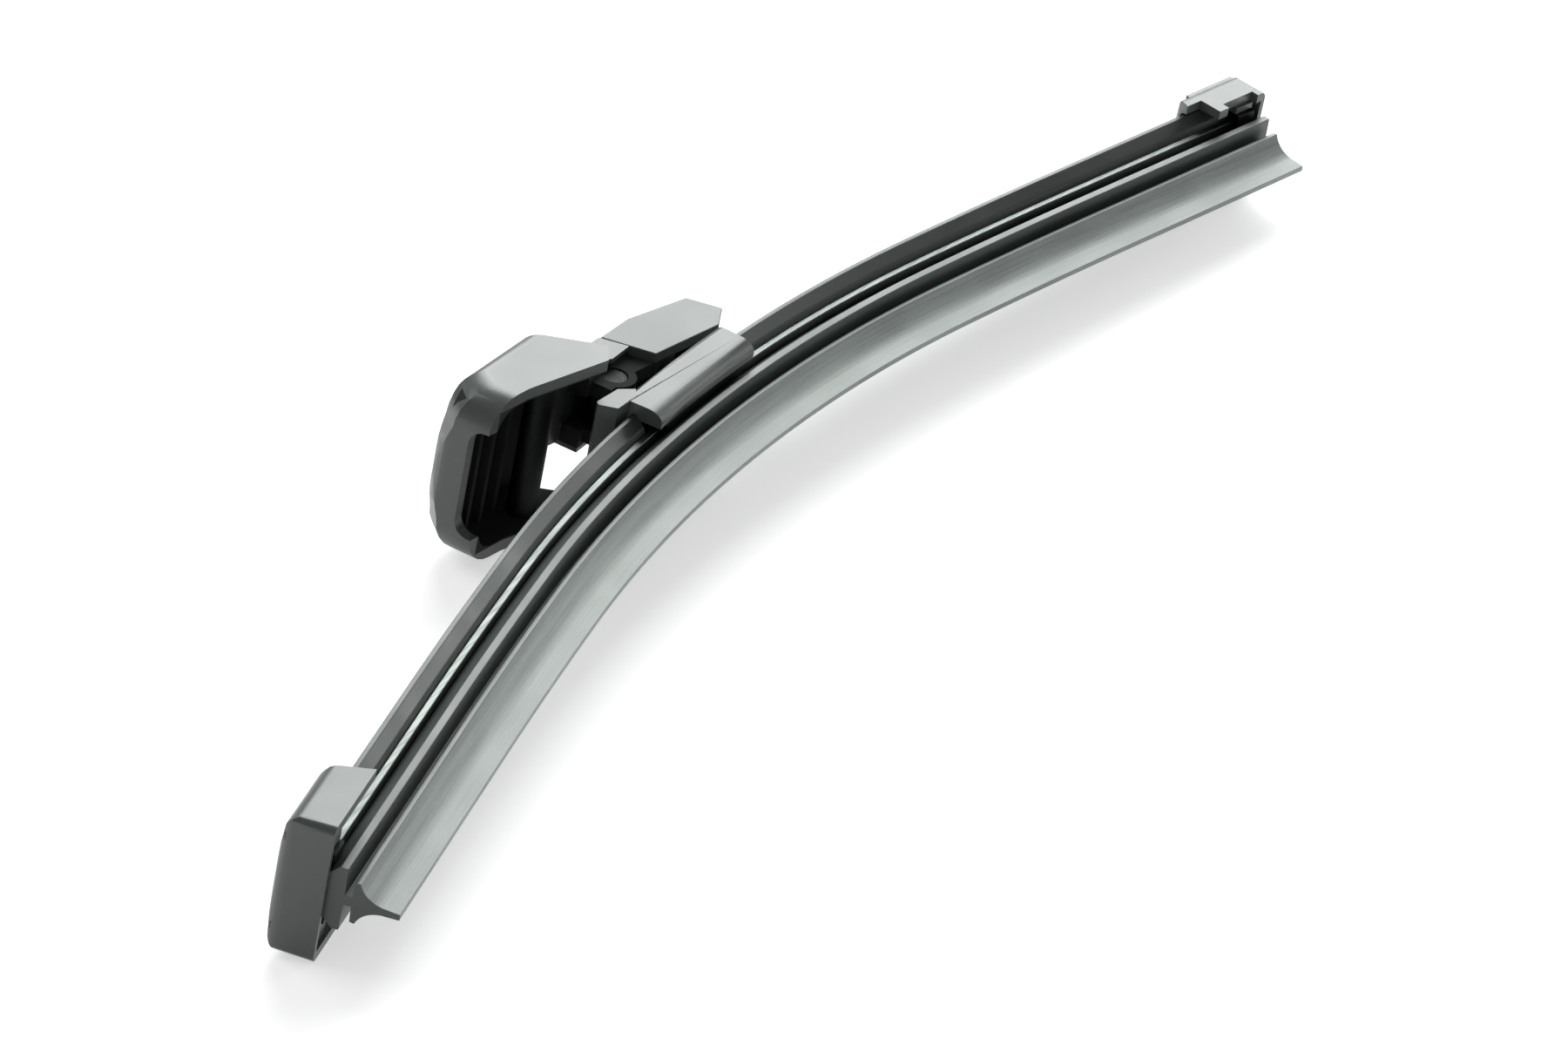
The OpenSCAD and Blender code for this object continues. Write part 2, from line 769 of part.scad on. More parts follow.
// Mouth in the side walls of the far cap, and the higher edge behind the tab
module mouth() {
    window_end = cap_reach - cap_end_wall - cap_corner;
    translate([cap_reach - cap_len - cut, cap_low - cut, -far_cap_w / 2 - cut])
        cube([cap_len + cut - cap_reach - tab_at, mouth_top - cap_low + cut, far_cap_w + 2 * cut]);
    for (side = [-1, 1])
        translate([tab_w - tab_at, cap_low - cut, side * (far_cap_w - cap_wall) / 2 - cap_wall / 2 - fit])
            cube([window_end - tab_w + tab_at, tab_top - cap_low + cut, cap_wall + 2 * fit]);
}

module far_end_cap() {
    color([0.11, 0.12, 0.12])
        at_station(half_len)
            difference() {
                end_cap(far_cap_w);
                mouth();
            }
}

lying() wiper_rubber();
lying() upper_spring_rail();
lying() lower_spring_rail();
lying() near_cover_strip();
lying() far_cover_strip();
lying() near_end_cap();
lying() far_end_cap();
lying() near_rail_clip();
lying() far_rail_clip();
lying() connector_clamp();
lying() connector_cover();
lying() pivot_pin();
lying() arm_hood();
lying() adapter_tongue();
lying() arm_pin();
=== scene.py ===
# %% [markdown]
# A flat rear wiper blade, seen as it lies on a pale table.
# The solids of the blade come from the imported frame. Here they get soft edges, finishes, light and a
# camera. Long pieces that follow the bow are drawn again as smooth sweeps, and the moulded pieces are
# softened copies of the solids, because a real moulding has no razor-sharp edge anywhere.
# Everything is in metres and in the frame's own axes: +X runs along the blade, +Y points away from the
# window glass, and +Z is up, across the blade.

# %% Setting up
import bmesh
import bpy
import json
import math
import numpy as np
from mathutils import Matrix, Vector


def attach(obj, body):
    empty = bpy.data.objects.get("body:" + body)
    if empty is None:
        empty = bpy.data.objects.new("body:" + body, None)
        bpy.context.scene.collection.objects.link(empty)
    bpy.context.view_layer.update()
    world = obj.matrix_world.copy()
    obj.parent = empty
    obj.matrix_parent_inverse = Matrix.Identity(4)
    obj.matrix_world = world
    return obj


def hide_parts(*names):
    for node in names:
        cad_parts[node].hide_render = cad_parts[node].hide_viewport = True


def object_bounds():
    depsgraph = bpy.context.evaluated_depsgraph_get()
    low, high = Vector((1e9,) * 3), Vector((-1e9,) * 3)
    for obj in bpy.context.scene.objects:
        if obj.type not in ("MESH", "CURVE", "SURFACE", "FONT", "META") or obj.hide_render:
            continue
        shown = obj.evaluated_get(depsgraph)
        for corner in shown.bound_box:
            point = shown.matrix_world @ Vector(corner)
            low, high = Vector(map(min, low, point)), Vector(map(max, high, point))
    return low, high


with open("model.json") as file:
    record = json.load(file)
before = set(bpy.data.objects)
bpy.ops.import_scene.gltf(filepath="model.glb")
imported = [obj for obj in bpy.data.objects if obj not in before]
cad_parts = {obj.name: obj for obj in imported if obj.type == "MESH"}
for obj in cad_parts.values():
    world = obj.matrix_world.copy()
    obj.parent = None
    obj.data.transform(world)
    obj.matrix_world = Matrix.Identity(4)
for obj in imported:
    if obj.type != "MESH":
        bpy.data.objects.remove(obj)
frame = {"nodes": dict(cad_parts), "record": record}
nodes = frame["nodes"]
cad_low, cad_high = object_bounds()
scene = bpy.context.scene
scene.view_settings.view_transform = "Standard"
body_of_node = {node: body for body, names in frame["record"]["behaviour"]["bodies"].items()
                for node in names}
print("pieces in the frame:", len(nodes))
print("box of the frame:", [round(v, 4) for v in cad_low], [round(v, 4) for v in cad_high])

# %% [markdown]
# The blade was drawn upright, with its bow flat in a plane, and then laid on the table, where it leans a
# little because the hood in the middle is wider than the end caps. A shape or a finish is easier to
# think of on the upright blade, so this matrix goes from the upright drawing to the table.

# %% From the upright drawing to the table
blade_lean = math.radians(7.492504)
blade_roll = math.radians(0.518478)
arm_pin_spot = Vector((-0.0215, 0.0186, 0.0))
lay_down = (Matrix.Rotation(blade_lean, 4, "X")
            @ Matrix.Rotation(blade_roll, 4, "Y")
            @ Matrix.Translation(-arm_pin_spot))


def onto_table(points):
    """Upright points, as rows, turned by the lean and the roll and moved to the table."""
    turn = np.array(lay_down.to_3x3())
    return points @ turn.T + np.array(lay_down.translation)


print("lean of the blade in degrees:", round(math.degrees(blade_lean), 2))

# %% [markdown]
# The camera stands where the photographer stood. Its place was worked out from the bow of the rubber
# and the width of the caps, as a long lens looking down on the blade from the hood's side.

# %% Camera
camera_yaw = math.radians(-156.5887)
camera_rise = math.radians(31.9848)
camera_lean = math.radians(11.5097)
camera_distance = 1.2716
camera_shift = (0.009954, -0.012939)

behind = Vector((math.cos(camera_yaw) * math.cos(camera_rise),
                 math.sin(camera_yaw) * math.cos(camera_rise),
                 math.sin(camera_rise)))
level_right = Vector((-math.sin(camera_yaw), math.cos(camera_yaw), 0.0))
level_up = behind.cross(level_right)
lens_right = math.cos(camera_lean) * level_right + math.sin(camera_lean) * level_up
lens_up = -math.sin(camera_lean) * level_right + math.cos(camera_lean) * level_up
lens_spot = camera_distance * behind + camera_shift[0] * lens_right + camera_shift[1] * lens_up

camera_data = bpy.data.cameras.new("photo_camera")
camera_data.sensor_fit = "HORIZONTAL"
camera_data.sensor_width = 36.0
camera_data.lens = 200.0
camera_data.clip_start = 0.05
camera_data.clip_end = 20.0
camera = bpy.data.objects.new("photo_camera", camera_data)
scene.collection.objects.link(camera)
upright_view = Matrix((lens_right, lens_up, behind)).transposed().to_4x4()
upright_view.translation = lens_spot
camera.matrix_world = lay_down @ upright_view
scene.camera = camera
print("camera stands at:", [round(v, 3) for v in camera.matrix_world.translation])


# %% [markdown]
# Every finish below is a small network of shader nodes. Writing one line for each node keeps such a
# network readable: the line names the kind of node, what goes into its sockets, and its settings.

# %% Helpers for finishes
def put(tree, kind, sockets=None, **settings):
    """Adds one shader node. A socket gets a value, or a link where another node's output is given."""
    made = tree.nodes.new("ShaderNode" + kind)
    for key, value in settings.items():
        setattr(made, key, value)
    for key, value in (sockets or {}).items():
        if isinstance(value, bpy.types.NodeSocket):
            tree.links.new(value, made.inputs[key])
        else:
            made.inputs[key].default_value = value
    return made


def sum_up(tree, operation, first, second=0.0):
    """One step of arithmetic on two values or outputs."""
    return put(tree, "Math", {0: first, 1: second}, operation=operation).outputs[0]


def ramp(tree, value, start, end, low=0.0, high=1.0):
    """Goes smoothly from low to high while value goes from start to end."""
    return put(tree, "MapRange", {"Value": value, "From Min": start, "From Max": end,
                                  "To Min": low, "To Max": high},
               interpolation_type="SMOOTHSTEP").outputs["Result"]


def toned(tree, colour, tone):
    """A colour made lighter or darker by a tone round 1."""
    return put(tree, "VectorMath", {0: colour, "Scale": tone}, operation="SCALE").outputs["Vector"]


def mixed(tree, factor, first, second):
    """A colour that goes from the first to the second as factor goes from 0 to 1."""
    mix = put(tree, "Mix", data_type="RGBA")
    for socket, value in ((mix.inputs[0], factor), (mix.inputs[6], first), (mix.inputs[7], second)):
        if isinstance(value, bpy.types.NodeSocket):
            tree.links.new(value, socket)
        else:
            socket.default_value = (*value, 1.0)
    return mix.outputs[2]


def finish_group(name, inputs, outputs):
    """A shader node group with named inputs and outputs, and the sockets at its two ends."""
    group = bpy.data.node_groups.new(name, "ShaderNodeTree")
    for title, kind, value in inputs:
        socket = group.interface.new_socket(title, in_out="INPUT", socket_type="NodeSocket" + kind)
        if value is not None:
            socket.default_value = value
    for title, kind in outputs:
        group.interface.new_socket(title, in_out="OUTPUT", socket_type="NodeSocket" + kind)
    return group, group.nodes.new("NodeGroupInput").outputs, group.nodes.new("NodeGroupOutput").inputs


# %% [markdown]
# Mould makers leave a fine spark-eroded grain on black plastic, which breaks up a reflection without
# being seen as bumps. It is a mix of two noises of different size. The same group gives a slow, patchy
# change of tone and gloss, because no moulding is equally glossy all over, and no rubber equally clean.

# %% Grain and patches
grain_group, grain_in, grain_out = finish_group(
    "fine_grain", [("Place", "Vector", None), ("Size", "Float", 2200.0), ("Roughness", "Float", 0.4),
                   ("Spread", "Float", 0.06)],
    [("Height", "Float"), ("Gloss", "Float"), ("Tone", "Float")])
pores = put(grain_group, "TexNoise", {"Vector": grain_in["Place"], "Scale": grain_in["Size"],
                                      "Detail": 2.0, "Roughness": 0.6})
coarse = put(grain_group, "TexNoise", {"Vector": grain_in["Place"], "Scale": 420.0, "Detail": 3.0})
patches = put(grain_group, "TexNoise", {"Vector": grain_in["Place"], "Scale": 55.0, "Detail": 4.0,
                                        "Roughness": 0.55})
grain_height = sum_up(grain_group, "ADD", sum_up(grain_group, "MULTIPLY", pores.outputs["Fac"], 0.7),
                      sum_up(grain_group, "MULTIPLY", coarse.outputs["Fac"], 0.3))
swing = sum_up(grain_group, "MULTIPLY", ramp(grain_group, patches.outputs["Fac"], 0.3, 0.7, -1.0, 1.0),
               grain_in["Spread"])
grain_group.links.new(grain_height, grain_out["Height"])
grain_group.links.new(sum_up(grain_group, "ADD", grain_in["Roughness"], swing), grain_out["Gloss"])
grain_group.links.new(sum_up(grain_group, "ADD", sum_up(grain_group, "MULTIPLY", swing, 2.0), 1.0),
                      grain_out["Tone"])
print("nodes in the grain group:", len(grain_group.nodes))


# %% [markdown]
# Each material starts the same way. It reads the place on the object, and a Mapping node turns it back
# to the upright drawing, so that a mask such as "inside the hood" is a plain test on x, y or z.

# %% How each material starts
def start_material(name, roughness, metallic=0.0):
    """A material with one Principled shader, and the upright place on the piece as a vector."""
    made = bpy.data.materials.new(name)
    made.use_nodes = True
    tree = made.node_tree
    shader = tree.nodes["Principled BSDF"]
    shader.inputs["Roughness"].default_value = roughness
    shader.inputs["Metallic"].default_value = metallic
    where = put(tree, "TexCoord")
    place = put(tree, "Mapping", {"Vector": where.outputs["Object"], "Location": arm_pin_spot,
                                  "Rotation": (-blade_lean, -blade_roll, 0.0)})
    return made, tree, shader, place.outputs["Vector"]


def grained(tree, place, size, roughness, spread):
    """The grain group placed in a material, with its own values."""
    return put(tree, "Group", {"Place": place, "Size": size, "Roughness": roughness, "Spread": spread},
               node_tree=grain_group).outputs


def bumpy(tree, shader, height, depth):
    """Feeds a height of 0 to 1 into the normal, with the depth in metres."""
    bump = put(tree, "Bump", {"Height": height, "Distance": depth, "Strength": 1.0})
    tree.links.new(bump.outputs["Normal"], shader.inputs["Normal"])


# %% [markdown]
# The hood and the caps are open boxes, and their insides look nearly black, as little light gets in, and
# the mould is left rough there because nobody sees it. A mask by the place paints that shade into the
# colour, near black, inside the hood, in the tongue's channel and on the collar round the pivot.

# %% Masks for the painted shade inside
def within(tree, value, low, high, soft=0.0001):
    """1 where value lies between low and high, with a soft border."""
    return sum_up(tree, "MULTIPLY", ramp(tree, value, low - soft, low + soft),
                  ramp(tree, value, high - soft, high + soft, 1.0, 0.0))


def block(tree, xyz, x_range, y_range, z_half):
    """1 inside a block that is as deep on both sides of the middle."""
    across = within(tree, sum_up(tree, "ABSOLUTE", xyz[2]), -1.0, z_half)
    flat = sum_up(tree, "MULTIPLY", within(tree, xyz[0], *x_range), within(tree, xyz[1], *y_range))
    return sum_up(tree, "MULTIPLY", across, flat)


def hood_painted_shade(tree, xyz):
    """Painted shade: within the hood's walls and under its roof, and under the ledge of the neck."""
    return sum_up(tree, "MAXIMUM", block(tree, xyz, (-0.0361, -0.0125), (0.0, 0.0252), 0.01215),
                  block(tree, xyz, (-0.0126, 0.01), (0.0, 0.0203), 0.006))


def tongue_painted_shade(tree, xyz):
    """Painted shade in the channel of the tongue."""
    return block(tree, xyz, (-0.02, 0.03), (0.0, 0.0165), 0.0051)


def cover_painted_shade(tree, xyz):
    """Painted shade on the collar round the pivot."""
    return block(tree, xyz, (-0.0105, 0.01), (0.00975, 1.0), 0.0048)


# %% [markdown]
# All mouldings of the blade are one black plastic, glass-filled and satin. Its own colour is a dark
# grey with a breath of green, which the grain makes a little lighter and darker from place to place.

# %% Moulded plastic
black = (0.105, 0.115, 0.11)
# The colour of the painted shade in the recesses, and how much rougher the finish is there.
painted_shade_black = (0.012, 0.015, 0.013)
painted_shade_duller_by = 0.6
grain_depth = 0.00001


def moulded_plastic(name, roughness, shade_mask=None):
    """Satin black moulding with fine grain; where the mask is 1 it is duller, and painted shade makes it
    darker.
    """
    made, tree, shader, place = start_material(name, roughness)
    grain = grained(tree, place, 2400.0, roughness, 0.035)
    colour = toned(tree, black, grain["Tone"])
    gloss = grain["Gloss"]
    if shade_mask:
        # Painted shade: where the mask is 1, the colour goes to near black.
        painted_shade = shade_mask(tree, put(tree, "SeparateXYZ", {0: place}).outputs)
        colour = mixed(tree, painted_shade, colour, painted_shade_black)
        gloss = sum_up(tree, "ADD", gloss, sum_up(tree, "MULTIPLY", painted_shade, painted_shade_duller_by))
    tree.links.new(colour, shader.inputs["Base Color"])
    tree.links.new(gloss, shader.inputs["Roughness"])
    bumpy(tree, shader, grain["Height"], grain_depth)
    return made


hood_plastic = moulded_plastic("hood_plastic", 0.36, hood_painted_shade)
tongue_plastic = moulded_plastic("tongue_plastic", 0.38, tongue_painted_shade)
cover_plastic = moulded_plastic("cover_plastic", 0.38, cover_painted_shade)
cap_plastic = moulded_plastic("cap_plastic", 0.36)
print("moulded plastics:", [m.name for m in (hood_plastic, tongue_plastic, cover_plastic, cap_plastic)])


# %% [markdown]
# The rubber comes out of a long die and is then coated: a thin dry layer of graphite lies on the lip,
# where it slides on the glass. It looks paler and duller than the bare rubber above the neck, and the
# cut ends show the bare rubber too. The sweep below carries the distance along the bow and the height
# above the neck in its map, so the material can tell them apart.

# %% Rubber finishes
coating_edge = -0.001
cut_end = 0.1397


def extruded_rubber(name, bare, coated, roughness):
    """Satin rubber with faint lines along the bow, and a dry coating on the lip below the neck."""
    made, tree, shader, place = start_material(name, roughness)
    along = put(tree, "UVMap", uv_map="along_and_up").outputs["UV"]
    stretched = put(tree, "Mapping", {"Vector": along, "Scale": (60.0, 5200.0, 1.0)})
    lines = put(tree, "TexNoise", {"Vector": stretched.outputs["Vector"], "Scale": 1.0, "Detail": 3.0})
    grain = grained(tree, place, 1700.0, roughness, 0.05)
    walked, up = put(tree, "SeparateXYZ", {0: along}).outputs[0:2]
    below = ramp(tree, up, coating_edge - 0.0002, coating_edge + 0.0002, 1.0, 0.0)
    before_cut = ramp(tree, sum_up(tree, "ABSOLUTE", walked), cut_end - 0.00015, cut_end - 0.00002,
                      1.0, 0.0)
    on_lip = sum_up(tree, "MULTIPLY", below, before_cut)
    speckle = put(tree, "TexNoise", {"Vector": place, "Scale": 5200.0, "Detail": 1.0})
    streaks = ramp(tree, lines.outputs["Fac"], 0.3, 0.6, 0.72, 1.0)
    dust = sum_up(tree, "MULTIPLY", streaks, ramp(tree, speckle.outputs["Fac"], 0.35, 0.6, 0.85, 1.0))
    dry = sum_up(tree, "MULTIPLY", on_lip, dust)
    colour = mixed(tree, dry, toned(tree, bare, grain["Tone"]), toned(tree, coated, grain["Tone"]))
    tree.links.new(colour, shader.inputs["Base Color"])
    tree.links.new(sum_up(tree, "ADD", grain["Gloss"], sum_up(tree, "MULTIPLY", dry, 0.06)),
                   shader.inputs["Roughness"])
    both = sum_up(tree, "ADD", sum_up(tree, "MULTIPLY", lines.outputs["Fac"], 0.6),
                  sum_up(tree, "MULTIPLY", grain["Height"], 0.4))
    bumpy(tree, shader, both, 0.000012)
    return made


blade_rubber = extruded_rubber("blade_rubber", (0.08, 0.092, 0.086), (0.33, 0.36, 0.345), 0.42)
strip_rubber = extruded_rubber("strip_rubber", (0.03, 0.038, 0.034), (0.03, 0.038, 0.034), 0.4)


# %% [markdown]
# The spring rails are cold-rolled strip, blackened against rust. Rolling leaves fine lines along the
# strip, so a noise that is stretched along the rail drives both the gloss and a very shallow bump.
# The clips, the clamp and the pins are blackened too, but pressed or turned, so their noise is stretched
# only two times.

# %% Steel finishes
def blackened_steel(name, colour, roughness, stretch):
    """Dark metal whose gloss varies in lines along the bow, as many times longer as stretch says."""
    made, tree, shader, place = start_material(name, roughness, 1.0)
    lined = put(tree, "Mapping", {"Vector": place, "Scale": (3000.0 / stretch, 3000.0, 3000.0)})
    lines = put(tree, "TexNoise", {"Vector": lined.outputs["Vector"], "Scale": 1.0, "Detail": 4.0})
    grain = grained(tree, place, 3000.0, roughness, 0.06)
    tree.links.new(toned(tree, colour, grain["Tone"]), shader.inputs["Base Color"])
    gloss = sum_up(tree, "ADD", grain["Gloss"], ramp(tree, lines.outputs["Fac"], 0.3, 0.7, -0.06, 0.06))
    tree.links.new(gloss, shader.inputs["Roughness"])
    bumpy(tree, shader, lines.outputs["Fac"], 0.000006)
    return made


rail_steel = blackened_steel("rail_steel", (0.15, 0.162, 0.155), 0.46, 40.0)
dark_steel = blackened_steel("dark_steel", (0.018, 0.02, 0.019), 0.55, 2.0)
print("steels:", rail_steel.name, dark_steel.name)

# %% [markdown]
# The backbone of the shape is the bow: a round middle, two flatter stretches beside it, and straight
# ends. Its tangent turns by the length walked over the radius, so the direction is known at every
# station, and the place follows from the three arcs.

# %% The bow
middle_radius = 0.310
middle_half = 0.057
side_radius = 1.395
side_half = 0.097
rubber_half = 0.1397


def bow(stations):
    """Angle and place of the bow at stations: the walked length over the radius, arc by arc, turns
    the direction. Places lie on the middle arc, then on the side arc, then on the straight end."""
    walked = np.abs(stations)
    side = np.sign(stations)
    middle_turn = middle_half / middle_radius
    turned = (np.minimum(walked, middle_half) / middle_radius
              + (np.clip(walked, middle_half, side_half) - middle_half) / side_radius)
    inner = np.stack([middle_radius * np.sin(turned), middle_radius * (np.cos(turned) - 1)])
    shift = middle_radius - side_radius
    outer = np.stack([shift * math.sin(middle_turn) + side_radius * np.sin(turned),
                      shift * math.cos(middle_turn) - middle_radius + side_radius * np.cos(turned)])
    rest = np.maximum(walked - side_half, 0)
    outer = outer + rest * np.stack([np.cos(turned), -np.sin(turned)])
    spot = np.where(walked <= middle_half, inner, outer)
    return side * turned, np.stack([side * spot[0], spot[1]])


print("rise of the bow:", round(float(-bow(np.array([rubber_half]))[1][1, 0]) * 1000, 1), "mm")


# %% [markdown]
# A rubber die or a rolling mill pushes one outline along the whole piece. The same is done here: an
# outline of height and width is carried along the bow, ring by ring. First its corners are rounded,
# because a die has no sharp corner, and a rounded edge is what catches the light.

# %% Rounding an outline
def rounded(outline, radius, steps=4):
    """Each corner is replaced by a curve of the second order. It starts and ends on the two sides of
    the corner, at the radius from it or at 0.4 of the side, whichever is shorter."""
    before = np.roll(outline, 1, axis=0) - outline
    after = np.roll(outline, -1, axis=0) - outline
    reach_before = np.linalg.norm(before, axis=1, keepdims=True)
    reach_after = np.linalg.norm(after, axis=1, keepdims=True)
    start = before / reach_before * np.minimum(radius, 0.4 * reach_before)
    end = after / reach_after * np.minimum(radius, 0.4 * reach_after)
    t = np.linspace(0, 1, steps + 1)[None, :, None]
    curve = outline[:, None, :] + (1 - t) ** 2 * start[:, None, :] + t ** 2 * end[:, None, :]
    return curve.reshape(-1, 2)


def both_halves(half):
    """Adds the mirror image of half an outline, in the other order, so that the loop closes."""
    return np.concatenate([half, half[::-1] * np.array([1, -1])])


# %% [markdown]
# The sweep puts one ring of points at each station, joins neighbouring rings with quads, and closes
# both ends with one face. A map stores the distance along the bow and the height above the neck.

# %% Carrying an outline along the bow
def turn_outwards(mesh):
    """Recalculates the directions of a closed mesh, so that its faces point outwards."""
    work = bmesh.new()
    work.from_mesh(mesh)
    bmesh.ops.recalc_face_normals(work, faces=work.faces)
    work.to_mesh(mesh)
    work.free()


def swept(name, outline, from_station, to_station, count=120):
    """A point is the bow's place plus its height along the bow's normal, with its width as z."""
    stations = np.linspace(from_station, to_station, count)
    turned, spot = bow(stations)
    height, width = outline[:, 0], outline[:, 1]
    x = spot[0][:, None] + np.sin(turned)[:, None] * height[None, :]
    y = spot[1][:, None] + np.cos(turned)[:, None] * height[None, :]
    z = np.broadcast_to(width[None, :], x.shape)
    points = onto_table(np.stack([x, y, z], axis=2).reshape(-1, 3))
    n = len(outline)
    ring, step = np.meshgrid(np.arange(count - 1), np.arange(n), indexing="ij")
    quads = np.stack([ring * n + step, ring * n + (step + 1) % n,
                      (ring + 1) * n + (step + 1) % n, (ring + 1) * n + step], axis=2).reshape(-1, 4)
    faces = quads.tolist() + [list(range(n - 1, -1, -1)), list(range((count - 1) * n, count * n))]
    mesh = bpy.data.meshes.new(name)
    mesh.from_pydata(points.tolist(), [], faces)
    turn_outwards(mesh)
    along = np.repeat(stations, n)
    up = np.tile(height, count)
    corner_of = np.empty(len(mesh.loops), dtype=np.int32)
    mesh.loops.foreach_get("vertex_index", corner_of)
    uv = mesh.uv_layers.new(name="along_and_up")
    uv.data.foreach_set("uv", np.stack([along[corner_of], up[corner_of]], axis=1).ravel())
    piece = bpy.data.objects.new(name, mesh)
    scene.collection.objects.link(piece)
    return piece


def smooth_between(piece, degrees):
    """Shades gently curved places smooth, keeps sharper edges, and lets wide faces stay flat."""
    piece.data.shade_smooth()
    piece.data.set_sharp_from_angle(angle=math.radians(degrees))
    weighted = piece.modifiers.new("flat_faces", "WEIGHTED_NORMAL")
    weighted.keep_sharp = True


def stands_for(piece, node, material):
    """Gives a finished piece its material, and lets it stand for a solid of the frame."""
    piece.data.materials.clear()
    piece.data.materials.append(material)
    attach(piece, body_of_node[node])
    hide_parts(node)
    return piece


# %% [markdown]
# The rubber is one extrusion: a wedge with hollow flanks that ends in the wiping lip, a thin neck that
# lets the wedge flip over, a flange, and two slots for the rails, closed by a bead on top.

# %% Wiper rubber
flank_t = np.linspace(0, 1, 19)[:, None]
flank = ((1 - flank_t) ** 2 * np.array([-4.8, 0.6]) + 2 * flank_t * (1 - flank_t) * np.array([-2.15, 1.05])
         + flank_t ** 2 * np.array([-1.35, 3.25]))
rubber_half_outline = np.concatenate([
    [[-7.4, 0.45]], flank,
    [[-0.65, 3.15], [-0.55, 0.75], [0.55, 0.75], [0.65, 4.98], [1.75, 5.0], [3.83, 2.75], [3.88, 1.0],
     [5.12, 1.0], [5.17, 2.4], [6.12, 2.1]]])
rubber_outline = rounded(both_halves(rubber_half_outline) / 1000, 0.00012, 3)
rubber_piece = swept("wiping_rubber", rubber_outline, -rubber_half, rubber_half, 150)
smooth_between(rubber_piece, 38)
stands_for(rubber_piece, "wiper_rubber", blade_rubber)
print("points round the rubber:", len(rubber_outline))

# %% [markdown]
# Two flat springs press the lip on the glass evenly. They lie in the slots of the rubber, and only
# their outer edges show between bead and flange, as a bright line along the blade.

# %% Spring rails
for node, side in (("upper_spring_rail", 1), ("lower_spring_rail", -1)):
    rail_outline = np.array([[4.0, 1.12 * side], [4.0, 4.4 * side], [5.0, 4.4 * side], [5.0, 1.12 * side]])
    rail_piece = swept(node + "_rolled", rounded(rail_outline / 1000, 0.00018), -0.1393, 0.1393, 120)
    smooth_between(rail_piece, 30)
    stands_for(rail_piece, node, rail_steel)

# %% [markdown]
# The cover strips are a soft profile clipped over the rails on each side of the connector. Their sides
# flare out to a thin edge, and their back is slightly crowned. The real ones guide the wind, so that it
# presses the blade down at speed.

# %% Cover strips
crown_share = np.linspace(1, 0.08, 8)
crown_line = np.stack([7.75 + 0.7 * (1 - crown_share ** 2), 6.6 * crown_share], axis=1)
strip_half = np.concatenate([
    [[6.27, 2.55], [5.05, 2.55], [5.05, 4.2], [5.55, 5.3], [7.05, 6.6]], crown_line])
strip_outline = rounded(both_halves(strip_half) / 1000, 0.00016, 3)
for node, ends in (("near_cover_strip", (-0.13455, -0.01365)), ("far_cover_strip", (0.01365, 0.13455))):
    strip_piece = swept(node + "_profile", strip_outline, ends[0], ends[1], 90)
    smooth_between(strip_piece, 38)
    stands_for(strip_piece, node, strip_rubber)
print("points round a cover strip:", len(strip_outline))


# %% [markdown]
# Moulded and pressed pieces keep the exact shape of the frame's solids. A copy of each is merged from
# loose triangles into clean faces, and a narrow bevel of three steps rounds its edges, as the mould's
# cutter or the bending press would.

# %% Moulded and pressed pieces
def softened(node, edge, material, segments=3):
    """A merged copy of a solid, with its edges rounded by a bevel of the given width."""
    mesh = nodes[node].data.copy()
    work = bmesh.new()
    work.from_mesh(mesh)
    bmesh.ops.remove_doubles(work, verts=work.verts, dist=0.000004)
    bmesh.ops.dissolve_limit(work, angle_limit=math.radians(1.0), verts=work.verts, edges=work.edges)
    work.to_mesh(mesh)
    work.free()
    piece = bpy.data.objects.new(node + "_softened", mesh)
    scene.collection.objects.link(piece)
    mesh.shade_smooth()
    bevel = piece.modifiers.new("soft_edges", "BEVEL")
    bevel.width = edge
    bevel.segments = segments
    bevel.limit_method = "ANGLE"
    bevel.angle_limit = math.radians(32)
    piece.modifiers.new("flat_faces", "WEIGHTED_NORMAL")
    return stands_for(piece, node, material)


softened("arm_hood", 0.0003, hood_plastic)
softened("adapter_tongue", 0.00025, tongue_plastic)
softened("connector_cover", 0.0003, cover_plastic)
softened("near_end_cap", 0.00025, cap_plastic)
softened("far_end_cap", 0.00025, cap_plastic)
softened("connector_clamp", 0.00015, dark_steel)
softened("near_rail_clip", 0.00015, dark_steel)
softened("far_rail_clip", 0.00015, dark_steel)
softened("pivot_pin", 0.0002, dark_steel)
softened("arm_pin", 0.0002, dark_steel)
print("pieces that stand for solids:", len(body_of_node))


# %% [markdown]
# The blade lies in a white studio. The table is one big pale sheet. Seen straight by the camera it is
# plain white, and for everything else it is an ordinary matt surface, so the blade still throws its
# soft grey shadow on it.

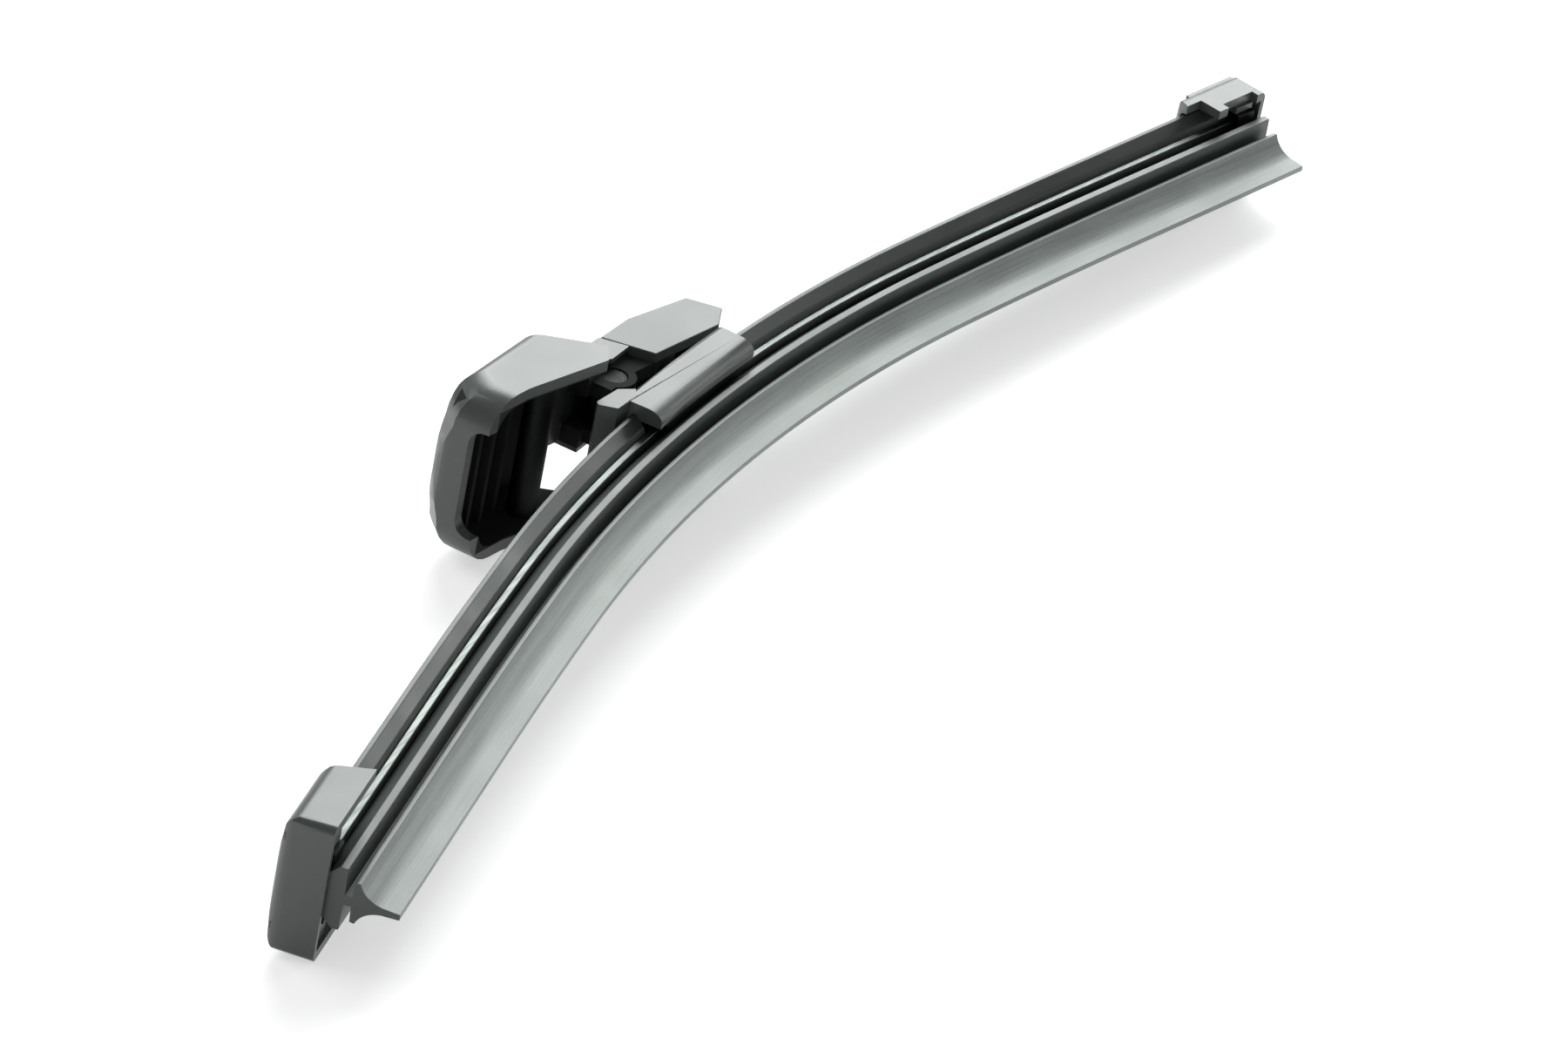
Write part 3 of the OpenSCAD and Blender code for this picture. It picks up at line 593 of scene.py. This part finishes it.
# %% Table
def white_paper():
    """Matt white that the camera and mirrors see a little brighter, to meet the white background."""
    paper = bpy.data.materials.new("white_paper")
    paper.use_nodes = True
    tree = paper.node_tree
    tree.nodes.clear()
    matt = put(tree, "BsdfDiffuse", {"Color": (0.88, 0.88, 0.88, 1)})
    glow = put(tree, "Emission", {"Color": (1, 1, 1, 1), "Strength": 0.55})
    both = put(tree, "AddShader", {0: matt.outputs[0], 1: glow.outputs[0]})
    path = put(tree, "LightPath")
    seen = sum_up(tree, "MAXIMUM", path.outputs["Is Camera Ray"], path.outputs["Is Glossy Ray"])
    pick = put(tree, "MixShader", {"Fac": seen, 1: matt.outputs[0], 2: both.outputs[0]})
    out = put(tree, "OutputMaterial")
    tree.links.new(pick.outputs[0], out.inputs["Surface"])
    return paper


table_height = cad_low[2] - 0.00005
table_mesh = bpy.data.meshes.new("table")
half_table = 3.0
corners = np.array([(-1, -1), (1, -1), (1, 1), (-1, 1)]) * half_table
table_mesh.from_pydata([(float(x), float(y), table_height) for x, y in corners], [], [(0, 1, 2, 3)])
table = bpy.data.objects.new("table", table_mesh)
scene.collection.objects.link(table)
table_mesh.materials.append(white_paper())
print("table height:", round(table_height, 5))

# %% [markdown]
# Black plastic shows what it mirrors more than its own colour. One large softbox stands behind the
# blade, where the faces that look up mirror it towards the camera, and makes them light grey. A second
# one on the roof side throws the shadow towards the glass side, and a small low one is mirrored in the
# flared side of the near cover strip. The rest of the room is dim.

# %% Light
world = bpy.data.worlds.new("studio")
scene.world = world
world.use_nodes = True
sky = world.node_tree
dim = sky.nodes["Background"]
dim.inputs["Color"].default_value = (1, 1, 1, 1)
dim.inputs["Strength"].default_value = 0.22
white = put(sky, "Background", {"Color": (1, 1, 1, 1), "Strength": 1.0})
sky_path = put(sky, "LightPath")
sky_pick = put(sky, "MixShader", {"Fac": sky_path.outputs["Is Camera Ray"],
                                  1: dim.outputs[0], 2: white.outputs[0]})
sky.links.new(sky_pick.outputs[0], sky.nodes["World Output"].inputs["Surface"])


def softbox(name, spot, aim, size, power):
    """A square lamp at spot that shines at aim."""
    data = bpy.data.lights.new(name, "AREA")
    data.shape = "SQUARE"
    data.size = size
    data.energy = power
    data.color = (0.96, 1.0, 0.98)
    lamp = bpy.data.objects.new(name, data)
    scene.collection.objects.link(lamp)
    lamp.location = spot
    lamp.rotation_euler = (Vector(aim) - Vector(spot)).to_track_quat("-Z", "Y").to_euler()
    return lamp


softbox("mirrored_softbox", (1.45, 0.5, 1.05), (0, 0, 0), 1.3, 40)
softbox("roof_side_softbox", (-0.1, 1.3, 1.3), (0, 0, 0), 1.0, 8)
softbox("low_softbox", (1.75, -0.66, 0.36), (0, 0, 0), 0.6, 7)
